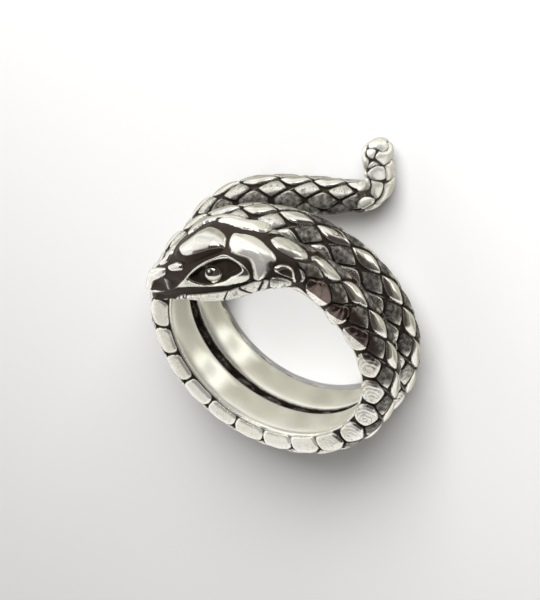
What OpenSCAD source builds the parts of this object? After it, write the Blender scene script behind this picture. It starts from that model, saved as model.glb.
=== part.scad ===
// Snake ring: a cast silver finger ring, a scaled snake that winds nearly twice round the finger.
// Lengths are in millimetres and angles in degrees. Z is the axis of the finger hole.
// The ring lies on its side with the head upward, and its lowest points are 6.5 below the origin.

/* [Finger hole] */
// Radius of the finger hole
hole_r = 9; // [8.5:0.1:9.5]

/* [Body] */
// Width of the body along the finger
body_w = 3.85; // [3.6:0.05:3.9]
// Height of the scaled back above the middle of the body
back_h = 1.5; // [1.3:0.05:1.7]
// Height of the scales over the grooves between them
relief = 0.34; // [0.2:0.02:0.4]
// Middle of the body at the neck, above the middle of the finger hole
neck_z = 2.56; // [2.46:0.02:2.66]
// Direction of the neck, seen from above
neck_a = 287; // [280:1:295]
// Fall of the body in one turn
pitch = 3.9; // [3.85:0.05:4.3]
// Further fall of the second turn, where it passes the head
pass_fall = 0.9; // [0.7:0.1:1.1]
// Fall of the body beside the head
head_gap = 0.3; // [0:0.1:0.5]
// Spread of the second turn away from the finger
spread = 0.5; // [0.3:0.1:0.7]
// Lean of the wrap along X, as a slope
lean_x = 0.106; // [0.09:0.002:0.12]
// Lean of the wrap along Y, as a slope
lean_y = -0.072; // [-0.09:0.002:-0.06]

/* [Tail] */
// Angle wound from the neck until the tail leaves the finger
tail_a = 690; // [680:1:700]
// Length of the straight tail
tail_l = 7.5; // [6:0.1:9]
// Angle of the bend before the tip
bend_a = 82; // [60:1:90]
// Radius of the bend
bend_r = 2.4; // [2.2:0.1:3]
// Length of the tip after the bend
tip_l = 3.9; // [3:0.1:5]
// Size of the tip as a share of the body
tip_share = 0.86; // [0.75:0.01:0.95]

/* [Head] */
// Direction from the finger that the top of the head faces
head_a = 322; // [318:1:326]
// Distance of the head's middle line from the axis of the finger hole
head_r = 11; // [10.8:0.1:11.2]
// Height of the head's middle line above the body at the neck
head_up = 4; // [3.6:0.1:4.4]
// Set back of the head along its length
head_back = 2.4; // [2:0.1:2.8]
// Radius of an eyeball
eye_r = 0.75; // [0.6:0.05:0.85]
// Distance of the eye from the snout
eye_d = 7.75; // [7.4:0.05:8]
// Turn of the scales behind the head about the neck
turn_a = 24; // [10:1:30]

/* [Hidden] */
// rows around the body to each side of the back, and the angle of one row
row_a = 36;
// rings in one scale
per_scale = 4;
// half height of the smooth inner band
in_h = 1;
// extra depth of the band, which the finger hole takes off
cut_in = 0.08;
// start and length of the cylinder that cuts the finger hole
cut_z = -8;
cut_l = 30;
mid_r = hole_r + in_h;
arc_l = mid_r * PI / 180;
coil_l = tail_a * arc_l;
bend_l = bend_r * bend_a * PI / 180;
body_l = coil_l + tail_l + bend_l + tip_l;
end_round = 1.35;
// where the neck leaves the wrap, as an angle from the start of the wrap
join_a = 32;
join_s = join_a * arc_l;
// straight length of the head, from the snout back
head_l = 9.2;
// distance from the middle of the head to the snout
nose = 6.2;
// distance from the snout where the sections of the body begin
body_d = 17;

// Scales counted along the back against the length along the body.
// Columns: count, length.
scale_at = [
    [-4, -12.1],
    [-0.5, -3.15],
    [0.5, -0.6],
    [1.5, 2.95],
    [2.5, 6.4],
    [4.5, 11.9],
    [8.5, 23.3],
    [15.5, 42.5],
    [22.5, 62.5],
    [26.5, 74],
    [41.5, 117.6],
    [44.5, 126.3],
    [48.5, 137.3]
];

// Sections of the head and neck.
// Columns: back from snout, half width, top, bottom, squareness of the underside.
head_rows = [
    [0, 1.1, -0.6, 1.6, 3],
    [0.3, 1.9, -0.25, 2.4, 4],
    [0.9, 2.4, 0.3, 2.7, 5],
    [1.8, 2.75, 0.95, 2.65, 5],
    [3.1, 3, 1.95, 2.5, 5],
    [4.7, 3.25, 2.85, 2.4, 5],
    [6, 3.42, 3.1, 2.4, 5],
    [7.4, 3.48, 2.95, 2.3, 5],
    [8.8, 3.4, 2.6, 2.15, 4.5],
    [10.4, 3, 2.15, 1.75, 3.8],
    [12.6, 2.35, 1.7, 1.3, 3.2],
    [15, 2, 1.55, 1.1, 3.2],
    [body_d, body_w / 2, back_h, in_h + cut_in, 3.2],
    [200, body_w / 2, back_h, in_h + cut_in, 3.2]
];

// Angles around half of the head, from the midline of the top to the midline of the jaw.
// The angles from 98 on are the upper lip, the mouth, the lower lip and the jaw.
half_angles = [0, 9, 20, 31, 42, 51, 58, 65, 73, 82, 90, 98, 104, 108, 112, 120, 132, 146, 158, 169];

function smooth(x) = let (c = min(max(x, 0), 1)) c * c * (3 - 2 * c);
function unit(v) = v / norm(v);
function radial(a) = [cos(a), sin(a), 0];
function onward(a) = [sin(a), -cos(a), 0];
function leaned(p) = [p.x, p.y, p.z + lean_x * p.x + lean_y * p.y];
function column(rows, x, c) = lookup(x, [for (r = rows) [r[0], r[c]]]);
function bump(x, w) = exp(-x * x / (w * w));

// The line of the wrap, by length along it from the start of the wrap
function wrap_z(u) =
    neck_z - pitch * u / 360
    - pass_fall * smooth((u - 480) / 200)
    - head_gap * bump(u - 320, 55);
function wrap_r(u) = mid_r + spread * smooth((u - 560) / 120);
function wrap_point(u) = let (r = wrap_r(u), c = radial(neck_a - u)) [r * c.x, r * c.y, wrap_z(u)];
end_slope = (wrap_z(tail_a) - wrap_z(tail_a - 1)) / arc_l;
end_out = radial(neck_a - tail_a);
end_on = onward(neck_a - tail_a);
function tail_turn(s) = min(max(s - coil_l - tail_l, 0), bend_l) / bend_r * 180 / PI;
function tail_point(s) = let (
        run = min(max(s - coil_l, 0), tail_l),
        t = tail_turn(s),
        tip = max(s - coil_l - tail_l - bend_l, 0),
        ease = min(run, 4),
        on = run + bend_r * sin(t) + tip * cos(t),
        out = bend_r * (1 - cos(t)) + tip * sin(t)
    )
    wrap_point(tail_a) + on * end_on + out * end_out + [0, 0, end_slope * ease * (1 - ease / 8)];
function body_point(s) = leaned(s < coil_l ? wrap_point(s / arc_l) : tail_point(s));
function body_up(s) = s < coil_l
    ? radial(neck_a - s / arc_l)
    : let (t = tail_turn(s)) cos(t) * end_out - sin(t) * end_on;

// The line of the head and neck, by length back from the snout
head_up_v = radial(head_a);
head_on_v = -onward(head_a);
head_mid = let (p = head_r * head_up_v - head_back * head_on_v)
    leaned([p.x, p.y, neck_z + head_up]);
neck_top = head_mid + (nose - head_l) * head_on_v;
neck_end = body_point(join_s);
neck_dir = unit(body_point(join_s + 0.05) - neck_end);
neck_l = norm(neck_end - neck_top) * 1.03;
join_d = head_l + neck_l;
function neck_point(h) =
    (2 * pow(h, 3) - 3 * h * h + 1) * neck_top
    - (pow(h, 3) - 2 * h * h + h) * neck_l * head_on_v
    + (3 * h * h - 2 * pow(h, 3)) * neck_end
    + (pow(h, 3) - h * h) * neck_l * neck_dir;
function neck_way(h) = unit(
    (6 * h * h - 6 * h) * neck_top
    - (3 * h * h - 4 * h + 1) * neck_l * head_on_v
    + (6 * h - 6 * h * h) * neck_end
    + (3 * h * h - 2 * h) * neck_l * neck_dir);
function head_point(d) = d < head_l ? head_mid + (nose - d) * head_on_v : neck_point((d - head_l) / neck_l);
function head_way(d) = d < head_l ? -head_on_v : neck_way((d - head_l) / neck_l);
function head_up_at(d) = let (
        k = smooth((d - head_l) / neck_l),
        m = (1 - k) * head_up_v + k * body_up(join_s),
        w = head_way(d)
    )
    unit(m - (m * w) * w);

// Frames: a point, the way up and the way to the side, by distance back from the snout
function frame_at(d) = let (
        near = d < join_d,
        s = d - join_d + join_s,
        p = near ? head_point(d) : body_point(s),
        up = near ? head_up_at(d) : body_up(s),
        side = near ? cross(up, -head_way(d)) : [0, 0, 1]
    )
    [p, up, side.z < 0 ? -side : side];
function length_at(d) = d - join_d + join_s;
all_l = body_l - join_s + join_d;

// size of the section as a share of the body, which falls along the tail and rounds off at its end
function share_at(d) = let (
        left = max(all_l - d, 0),
        y = min(max(1 - left / end_round, 0), 1)
    )
    (tip_share + (1 - tip_share) * smooth((left - 5) / 16)) * sqrt(max(1 - y * y, 0.001));

// one point of a section: a is the angle from the back, toward the upper side
function oval(a, wide, high, m) = let (
        c = cos(a),
        s = sin(a),
        k = pow(pow(abs(c), m) + pow(abs(s), m), -1 / m)
    )
    [high * c * k, wide * s * k];
function outline(d, a, lift) = let (
        q = share_at(d),
        f = frame_at(d),
        upper = cos(a) > 0,
        loose = smooth((length_at(d) - coil_l) / tail_l),
        m = upper ? 2.4 - 0.3 * loose : column(head_rows, d, 4) - 1.1 * loose,
        high = upper ? column(head_rows, d, 2) : column(head_rows, d, 3) + 0.2 * loose,
        o = oval(a, column(head_rows, d, 1) * q, high * q, m),
        o2 = o * (1 + lift * q / norm(o))
    )
    f[0] + o2[0] * f[1] + o2[1] * f[2];

// Scales of the body
function count_at(s) = lookup(s, [for (r = scale_at) [r[1], r[0]]]);
function length_of(n) = lookup(n, scale_at);
function part_of(x) = abs(x - round(x));
function dome(x) = 1 - 4 * x * x;
function scale_h(n, v) = abs(v) <= 2
    ? dome(part_of(n + v / 2)) * dome(part_of(n - v / 2))
    : pow(dome(part_of(n)), 2) * (1 - pow((abs(v) - 2) / 0.75, 2));

// Rings of points
// the back carries eleven half rows, the edges and the smooth inner band follow
outer = 13;
round_n = 20;
inner_step = (360 - 2 * 2.75 * row_a) / (round_n - outer + 1);
function body_angle(j) =
    j <= 10 ? (j - 5) / 2 * row_a
    : j == 11 ? 2.75 * row_a
    : j == round_n - 1 ? -2.75 * row_a
    : 2.75 * row_a + (j - 11) * inner_step;
function neck_turn(d) = turn_a * smooth((d - 10) / 2) * smooth((18.5 - d) / 6);
function ring_angle(d, j) = body_angle(j) + (j <= 10 ? neck_turn(d) * (1 - abs(j - 5) / 5.5) : 0);
function body_lift(n, j) = j <= 10 ? relief * (scale_h(n, (j - 5) / 2) - 0.6)
    : (j == 11 || j == round_n - 1) ? -0.6 * relief
    : 0;

// eyes, mouth, brows, nostrils and head plates as heights on the head
eye_a = 77;
nostril_d = 2.8;
nostril_a = 100;
mouth_a = 108;
plate_d = 8.6;
nape_d = 10.6;
function head_lift(d, a) = let (
        t = abs(a > 180 ? a - 360 : a),
        e = norm([d - eye_d, (t - eye_a) * 0.055]),
        fade = smooth((12 - d) / 3),
        mouth = smooth(10 - d) * (abs(t - mouth_a) < 2 ? 1 : 0)
    )
    fade * (
        (e < eye_r ? sqrt(eye_r * eye_r - e * e) * 0.75 - 0.1 : 0)
        - 0.24 * bump(e - eye_r - 0.3, 0.35)
        + 0.16 * bump(t - 56, 7) * bump(d - eye_d, 2.6)
        - 0.14 * (t < 4 ? 1 : 0) * smooth(d - 1)
        - 0.16 * bump(d - plate_d, 0.4) * (t < 50 ? 1 : 0)
        - 0.16 * bump(d - nape_d, 0.4) * (t < 100 ? 1 : 0)
        - 0.2 * bump(norm([d - nostril_d, (t - nostril_a) * 0.05]), 0.4)
    )
    - 0.4 * mouth;

stitch_d = 11.2;
head_n = 40;
head_steps = 27;
head_ds = [for (i = [0:head_steps]) let (k = i / head_steps) stitch_d * (0.03 * k + 0.97 * pow(k, 1.12)) + 0.02 * (1 - k)];
function head_angle(j) = j < 20 ? half_angles[j] : j == 20 ? 180 : 360 - half_angles[40 - j];
// the body's points go round from the lower edge of the back, so the head's start at the same place
function head_slot(j) = (j + 30) % 40;

n_first = ceil(count_at(length_at(stitch_d + 0.5)) * per_scale);
n_last = floor(count_at(body_l - end_round) * per_scale);
body_counts = [for (k = [n_first:n_last]) k / per_scale];
// rings of the rounded end, by their distance from it
end_ds = [for (x = [1.1, 0.8, 0.55, 0.35, 0.2, 0.09]) all_l - x];

function head_ring(d) = [for (j = [0:head_n - 1]) let (a = head_angle(head_slot(j))) outline(d, a, head_lift(d, a))];
function body_ring(d, n) = [for (j = [0:round_n - 1]) outline(d, ring_angle(d, j), body_lift(n, j))];

head_rings = [for (d = head_ds) head_ring(d)];
body_rings = concat(
    [for (n = body_counts) body_ring(length_of(n) - join_s + join_d, n)],
    [for (d = end_ds) body_ring(d, count_at(length_at(d)))]
);
points = concat(
    [frame_at(0)[0]],
    [for (r = head_rings) for (p = r) p],
    [for (r = body_rings) for (p = r) p],
    [frame_at(all_l)[0]]
);
head_0 = 1;
body_0 = head_0 + len(head_rings) * head_n;
last = len(points) - 1;

function tri(a, b, c) = [a, c, b];
function split(a, b, c, d, first) = first ? [tri(a, b, c), tri(a, c, d)] : [tri(a, b, d), tri(b, c, d)];
function groove(k, j) = ((k + j + 1) % 4 + 4) % 4 == 2;

head_faces = [
    for (i = [0:len(head_rings) - 2])
        for (j = [0:head_n - 1])
            let (
                a = head_0 + i * head_n + j,
                b = head_0 + i * head_n + (j + 1) % head_n
            )
            for (f = split(a, b, b + head_n, a + head_n, j < head_n / 2)) f
];
stitch_faces = [
    for (j = [0:round_n - 1])
        let (
            h = body_0 - head_n,
            a = h + 2 * j,
            m = h + 2 * j + 1,
            b = h + (2 * j + 2) % head_n,
            c = body_0 + j,
            e = body_0 + (j + 1) % round_n
        )
        for (f = [tri(a, m, c), tri(m, e, c), tri(m, b, e)]) f
];
body_faces = [
    for (i = [0:len(body_rings) - 2])
        for (j = [0:round_n - 1])
            let (
                a = body_0 + i * round_n + j,
                b = body_0 + i * round_n + (j + 1) % round_n
            )
            for (f = split(a, b, b + round_n, a + round_n, !groove(n_first + i, j - 5))) f
];
cap_faces = concat(
    [for (j = [0:head_n - 1]) tri(0, head_0 + (j + 1) % head_n, head_0 + j)],
    [for (j = [0:round_n - 1]) tri(last, last - round_n + j, last - round_n + (j + 1) % round_n)]
);
faces = concat(head_faces, stitch_faces, body_faces, cap_faces);

module snake_ring()
    color([0.78, 0.77, 0.74])
        difference() {
            polyhedron(points = points, faces = faces, convexity = 12);
            translate([0, 0, cut_z]) cylinder(r = hole_r, h = cut_l, $fn = 180);
        }

snake_ring();
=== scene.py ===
import math
from types import SimpleNamespace

import bpy
import numpy as np
from mathutils import Matrix, Vector


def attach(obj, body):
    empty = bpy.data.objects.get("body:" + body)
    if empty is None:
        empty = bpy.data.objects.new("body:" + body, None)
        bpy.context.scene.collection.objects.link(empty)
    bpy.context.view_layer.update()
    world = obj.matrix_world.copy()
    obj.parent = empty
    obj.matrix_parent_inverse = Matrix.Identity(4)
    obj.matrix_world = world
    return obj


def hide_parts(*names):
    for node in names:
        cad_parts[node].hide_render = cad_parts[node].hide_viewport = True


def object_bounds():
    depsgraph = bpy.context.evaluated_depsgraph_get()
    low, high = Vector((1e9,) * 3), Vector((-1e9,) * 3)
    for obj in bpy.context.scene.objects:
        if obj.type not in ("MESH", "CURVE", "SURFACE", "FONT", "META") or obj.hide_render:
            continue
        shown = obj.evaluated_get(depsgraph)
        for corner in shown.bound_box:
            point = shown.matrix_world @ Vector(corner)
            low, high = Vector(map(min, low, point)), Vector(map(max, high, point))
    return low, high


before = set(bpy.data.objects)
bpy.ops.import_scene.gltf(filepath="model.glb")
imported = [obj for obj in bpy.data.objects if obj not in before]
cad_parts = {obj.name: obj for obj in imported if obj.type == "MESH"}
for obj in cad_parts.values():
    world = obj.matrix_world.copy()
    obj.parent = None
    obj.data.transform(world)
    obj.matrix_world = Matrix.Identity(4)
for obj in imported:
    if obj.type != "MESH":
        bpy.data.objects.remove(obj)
cad_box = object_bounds()

MM = 0.001
# the floor is at the solid's lowest point
FLOOR_Z = cad_box[0][2]

# Sizes, as in the solid: millimetres and degrees, with Z along the finger hole.
HOLE_R = 9.0
# depth of the body under its middle line, and the extra depth that the finger hole takes off
IN_H = 1.0
CUT_IN = 0.08
# the body: width along the finger, and height of its scaled back over its middle
BODY_W = 3.85
BACK_H = 1.5
# the wrap: height and direction of the neck, and the fall in one turn
NECK_Z = 2.56
NECK_A = 287.0
PITCH = 3.9
# further fall of the second turn, its spread away from the finger, and the fall beside the head
PASS_FALL = 0.9
SPREAD = 0.5
HEAD_GAP = 0.3
# their places, as angles wound from the neck: start and length of two, middle and width of the third
FALL_AT = (480, 200)
SPREAD_AT = (560, 120)
GAP_AT = (320, 55)
# lean of the wrap, as slopes along X and Y
LEAN = (0.106, -0.072)
# the tail: angle wound before it leaves the finger, straight length, angle and radius of its bend, length
# and size of its tip, and length of the rounded end
TAIL_A = 690.0
TAIL_L = 7.5
BEND_A = 82.0
BEND_R = 2.4
TIP_L = 3.9
TIP_SHARE = 0.86
END_ROUND = 1.35
# taper from the body to the tip, by distance from the tail's end: start and length
TAPER_AT = (5, 16)
# length over which the straight tail stops falling
TAIL_LEVEL = 4
# the head: direction that its top faces, distance of its middle from the axis, height over the neck, set
# back, straight length, and distance from its middle to the snout
HEAD_A = 322.0
HEAD_R = 11.0
HEAD_UP = 4.0
HEAD_BACK = 2.4
HEAD_L = 9.2
NOSE = 6.2
# angle from the start of the wrap where the neck leaves it
JOIN_A = 32.0
# bow of the neck: its length over the straight distance
NECK_BOW = 1.03
# angle of one row of scales, and rows from the back to the edges of the neck's and the body's scales
ROW_A = 36.0
EDGE_V = 2.75
SIDE_V = 3.52
# turn of the rows about the neck behind the head, and where it is by distance from the snout
TURN_A = 24.0
TURN_AT = (10, 2, 18.5, 6)
# angle from the back where two turns lie against each other
TOUCH_A = 140.0
# reach of the lower jaw past the solid's, depth where it sets in, further depth to its whole, and length
CHIN_ON = 0.62
CHIN_Z = 0.2
CHIN_RISE = 1.5
CHIN_L = 2.4
# what the tail's tip lacks of the solid's length, and the length over which this sets in
TIP_SHORT = 0.25
TIP_SHORT_L = 1.8
# squareness of the upper half of a section, and how much rounder and deeper the sections of the tail are
BACK_SQUARE = 2.4
TAIL_ROUNDER = 0.3
TAIL_ROUNDER_LOW = 1.1
TAIL_DEEPER = 0.2

MID_R = HOLE_R + IN_H
ARC_L = MID_R * math.pi / 180
COIL_L = TAIL_A * ARC_L
BEND_L = BEND_R * math.radians(BEND_A)
BODY_L = COIL_L + TAIL_L + BEND_L + TIP_L
JOIN_S = JOIN_A * ARC_L

# scales counted along the back: count, length along the body
SCALE_AT = np.array([
    [-4, -12.1], [-0.5, -3.15], [0.5, -0.6], [1.5, 2.95], [2.5, 6.4], [4.5, 11.9], [8.5, 23.3],
    [15.5, 42.5], [22.5, 62.5], [26.5, 74], [41.5, 117.6], [44.5, 126.8], [45.5, 129.7], [48.5, 136.6],
])

# sections of the head and neck: back from snout, half width, top, bottom, squareness of the underside
HEAD_ROWS = np.array([
    [0, 1.1, -0.6, 1.6, 3], [0.3, 1.9, -0.25, 2.4, 4], [0.9, 2.4, 0.3, 2.7, 5],
    [1.8, 2.75, 0.95, 2.65, 5], [3.1, 3, 1.95, 2.5, 5], [4.7, 3.25, 2.85, 2.4, 5],
    [6, 3.42, 3.1, 2.4, 5], [7.4, 3.48, 2.95, 2.3, 5], [8.8, 3.4, 2.6, 2.15, 4.5],
    [10.4, 3, 2.15, 1.75, 3.8], [12.6, 2.35, 1.7, 1.3, 3.2], [15, 2, 1.55, 1.1, 3.2],
    [17, BODY_W / 2, BACK_H, IN_H + CUT_IN, 3.2],
    [200, BODY_W / 2, BACK_H, IN_H + CUT_IN, 3.2],
])


def smooth(x):
    c = np.clip(x, 0, 1)
    return c * c * (3 - 2 * c)


def eased(x, start, length):
    """0 up to the start and 1 from its end on."""
    return smooth((x - start) / length)


def between(x, start, rise, end, fall):
    """1 in the middle of a stretch and 0 outside it, with the lengths of its rise and its fall."""
    return smooth((x - start) / rise) * smooth((end - x) / fall)


def bump(x, w):
    return np.exp(-(x / w) ** 2)


def domed(e, reach):
    """Height of a round edge, by distance inside the outline."""
    return 1 - (1 - np.clip(e / reach, 0, 1)) ** 2


def unit(v):
    return v / np.linalg.norm(v, axis=-1, keepdims=True)


def signed(a):
    """The same angle, from -180 to 180 degrees."""
    return np.where(a > 180, a - 360, a)


def radial(a):
    t = np.radians(a)
    return np.stack([np.cos(t), np.sin(t), 0 * t], -1)


def onward(a):
    t = np.radians(a)
    return np.stack([np.sin(t), -np.cos(t), 0 * t], -1)


def leaned(p):
    q = np.array(p, float)
    q[..., 2] += LEAN[0] * q[..., 0] + LEAN[1] * q[..., 1]
    return q


# The line of the wrap and the tail, by length along it.
def wrap_point(u):
    """Middle of the body where it has wound the angle u from the neck."""
    u = np.asarray(u, float)
    p = (MID_R + SPREAD * eased(u, *SPREAD_AT))[..., None] * radial(NECK_A - u)
    fall = PITCH * u / 360 + PASS_FALL * eased(u, *FALL_AT) + HEAD_GAP * bump(u - GAP_AT[0], GAP_AT[1])
    p[..., 2] = NECK_Z - fall
    return p


def body_line(s):
    """Points of the body's middle line and the way its back faces."""
    s = np.asarray(s, float)
    end = wrap_point(TAIL_A)
    end_on = onward(np.array(NECK_A - TAIL_A))
    end_out = radial(np.array(NECK_A - TAIL_A))
    slope = (end[2] - wrap_point(TAIL_A - 1)[2]) / ARC_L
    run = np.clip(s - COIL_L, 0, TAIL_L)
    turn = np.clip(s - COIL_L - TAIL_L, 0, BEND_L) / BEND_R
    tip = np.maximum(s - COIL_L - TAIL_L - BEND_L, 0)
    on = run + BEND_R * np.sin(turn) + tip * np.cos(turn)
    out = BEND_R * (1 - np.cos(turn)) + tip * np.sin(turn)
    ease = np.minimum(run, TAIL_LEVEL)
    tail = end + on[..., None] * end_on + out[..., None] * end_out
    tail[..., 2] += slope * ease * (1 - ease / (2 * TAIL_LEVEL))
    wound = (s < COIL_L)[..., None]
    u = np.minimum(s, COIL_L) / ARC_L
    tail_up = np.cos(turn)[..., None] * end_out - np.sin(turn)[..., None] * end_on
    up = np.where(wound, radial(NECK_A - u), tail_up)
    return leaned(np.where(wound, wrap_point(u), tail)), up


# The line of the head and neck, by distance back from the snout.
HEAD_UP_V = radial(np.array(HEAD_A))
HEAD_ON_V = -onward(np.array(HEAD_A))
head_mid = HEAD_R * HEAD_UP_V - HEAD_BACK * HEAD_ON_V
head_mid[2] = NECK_Z + HEAD_UP
HEAD_MID = leaned(head_mid)
NECK_TOP = HEAD_MID + (NOSE - HEAD_L) * HEAD_ON_V
NECK_END, NECK_UP = body_line(np.array(JOIN_S))
NECK_DIR = unit(body_line(np.array(JOIN_S + 0.05))[0] - NECK_END)
NECK_L = float(np.linalg.norm(NECK_END - NECK_TOP)) * NECK_BOW
JOIN_D = HEAD_L + NECK_L
ALL_L = BODY_L - JOIN_S + JOIN_D


def head_line(d):
    """Points of the line of the head and neck, the way the top faces, and the way to the side."""
    h = np.clip((d - HEAD_L) / NECK_L, 0, 1)[..., None]
    point = ((2 * h**3 - 3 * h * h + 1) * NECK_TOP - (h**3 - 2 * h * h + h) * NECK_L * HEAD_ON_V
             + (3 * h * h - 2 * h**3) * NECK_END + (h**3 - h * h) * NECK_L * NECK_DIR)
    way = unit((6 * h * h - 6 * h) * NECK_TOP - (3 * h * h - 4 * h + 1) * NECK_L * HEAD_ON_V
               + (6 * h - 6 * h * h) * NECK_END + (3 * h * h - 2 * h) * NECK_L * NECK_DIR)
    straight = (d < HEAD_L)[..., None]
    point = np.where(straight, HEAD_MID + (NOSE - d)[..., None] * HEAD_ON_V, point)
    way = np.where(straight, -HEAD_ON_V, way)
    k = smooth(h)
    up = (1 - k) * HEAD_UP_V + k * NECK_UP
    up = unit(up - (up * way).sum(-1, keepdims=True) * way)
    side = np.cross(up, -way)
    side = np.where(side[..., 2:] < 0, -side, side)
    return point, up, side


def length_at(d):
    return d - JOIN_D + JOIN_S


def frames(d):
    near = (d < JOIN_D)[:, None]
    p1, u1, s1 = head_line(np.minimum(d, JOIN_D))
    p2, u2 = body_line(np.maximum(length_at(d), JOIN_S))
    return np.where(near, p1, p2), np.where(near, u1, u2), np.where(near, s1, np.array([0, 0, 1.0]))


def share_at(d):
    """Size of the body there, as a share of its full size."""
    left = np.maximum(ALL_L - d, 0)
    y = np.clip(1 - left / END_ROUND, 0, 1)
    return (TIP_SHARE + (1 - TIP_SHARE) * eased(left, *TAPER_AT)) * np.sqrt(np.maximum(1 - y * y, 0.0004))


def section(d, a):
    """Sideways and upward offsets of the plain skin at distance d and angle a from the back."""
    wide, top, low, low_square = (np.interp(d, HEAD_ROWS[:, 0], HEAD_ROWS[:, k]) for k in (1, 2, 3, 4))
    q = share_at(d)
    loose = smooth((length_at(d) - COIL_L) / TAIL_L)
    c, s = np.cos(np.radians(a)), np.sin(np.radians(a))
    upper = c > 0
    m = np.where(upper, BACK_SQUARE - TAIL_ROUNDER * loose, low_square - TAIL_ROUNDER_LOW * loose)
    middle = np.minimum(top - 0.5, 0)
    high = np.where(upper, top - middle, low + middle + TAIL_DEEPER * loose)
    k = (np.abs(c) ** m + np.abs(s) ** m) ** (-1 / m)
    return wide * q * s * k, middle + high * q * c * k


def plain_skin(d, a):
    """Grid of skin points for the distances d (rows) and the angles a (rows by columns)."""
    p, up, side = frames(d - TIP_SHORT * eased(d, ALL_L - TIP_SHORT_L, TIP_SHORT_L))
    y, z = section(d[:, None], a)
    forward = CHIN_ON * smooth((-CHIN_Z - z) / CHIN_RISE) * smooth((CHIN_L - d[:, None]) / CHIN_L)
    skin_at = p[:, None] + y[..., None] * side[:, None] + z[..., None] * up[:, None]
    return skin_at + forward[..., None] * HEAD_ON_V, y, z, p


def grid_normals(pts, mids):
    """Outward unit normals of a grid that closes round, and -1 if its own normals face inward."""
    dr = np.gradient(pts, axis=0)
    da = np.roll(pts, -1, 1) - np.roll(pts, 1, 1)
    n = np.cross(dr, da)
    size = np.linalg.norm(n, axis=-1, keepdims=True)
    out = unit(pts - mids[:, None] + 1e-9)
    n = np.where(size > 1e-10, n / np.maximum(size, 1e-10), out)
    flip = np.sign((n * out).sum(-1).sum())
    return n * flip, flip


# Scales of the body, counted along the back (n) and in rows round it (v). The leaves along the back are
# kind 0, the diamonds beside them kind 1, and the side scales beyond those kind 2.
# Outlines in counts and rows: half length, half height, squareness.
LEAF_HALF = (0.5, 0.72, 1.7)
DIAMOND_HALF = (0.41, 0.82, 1.15)
SHELL_HALF = (0.435, 0.85, 1.4)
# size of one row in millimetres
ROW_MM = 1.12
# heights of the crowns of the three kinds, of a scale's edge, and depth of the grooves
CROWNS = (0.24, 0.10, 0.20)
SCALE_EDGE_H = 0.03
GROOVE_DEEP = 0.20
# the edge of a scale, by distance inside its outline: start and length of its rise, and the groove's fade
SCALE_EDGE = (-0.05, 0.15)
DARK_EDGE = 0.09
# how dark the patina is on the diamonds next to the head, deepened there with painted shade, on the tail's
# underside, in the casting marks and along the rim's line
KEPT_DARK = 0.64
TAIL_DARK = 0.62
MARK_DARK = 0.58
RIM_DARK = 0.7
# casting marks: spacing of the rings and their depth
MARK_STEP = 0.36
MARK_DEEP = 0.035
# Stretches by length along the body: start, length of the rise, end, length of the fall.
LOWER_RIM = (20, 4, 62, 4)
RIM_LINE_AT = (22, 9, 54, 6)
KEPT_NEAR_HEAD = (-3, 2, 30, 12)
KEPT_ABOVE_HEAD = (57, 5, 84, 10)
MARKED_ABOVE = (70, 4, 98, 6)
RED_AT = (-1.5, 1.5, 10.8, 1.5)
TOUCH_FIRST = (-2, 3, 60, 3)
TOUCH_SECOND = (62, 3, 119, 3)
TAIL_PATINA = (108, 8, 130, 1.5)
# roughness of the three kinds, of the side scales in the front half and of the diamonds next to the head
ROUGH = (0.1, 0.85, 0.6)
ROUGH_FRONT = 0.38
ROUGH_NEAR_HEAD = 0.3
# satin finish of the smooth band
BAND_SATIN = 0.3


def neck_turn(d):
    return TURN_A * between(d, *TURN_AT)


def row_at(d, a):
    """Row number of the angle a, which slides round the neck behind the head."""
    turn = neck_turn(d)
    return np.where(a > turn, (a - turn) / (ROW_A - turn / EDGE_V), (a - turn) / (ROW_A + turn / EDGE_V))


def chance(i, j, k):
    """A steady value from 0 to 1 for one scale, from its two lattice numbers."""
    v = np.sin(i * 12.9898 + j * 78.233 + k * 37.719) * 43758.5453
    return v - np.floor(v)


def inset(g, wide, tall, m):
    """Distance in millimetres inside an outline |x/wide|^m + |y/tall|^m = 1, in lattice units."""
    px, py = np.abs(g.x) / wide, np.abs(g.y) / tall
    f = px**m + py**m
    slope = np.hypot(m * px ** (m - 1) / (wide * g.step), m * py ** (m - 1) / (tall * g.row))
    return (1 - f) / np.maximum(slope, 1.2)


def lens(g, wide, tall, m):
    """Distance in millimetres inside a leaf with its points along the body."""
    px = np.abs(g.x) / wide
    f = px**m + np.abs(g.y) / tall
    slope = np.hypot(m * px ** (m - 1) / (wide * g.step), 1 / (tall * g.row))
    return (1 - f) / slope


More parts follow.
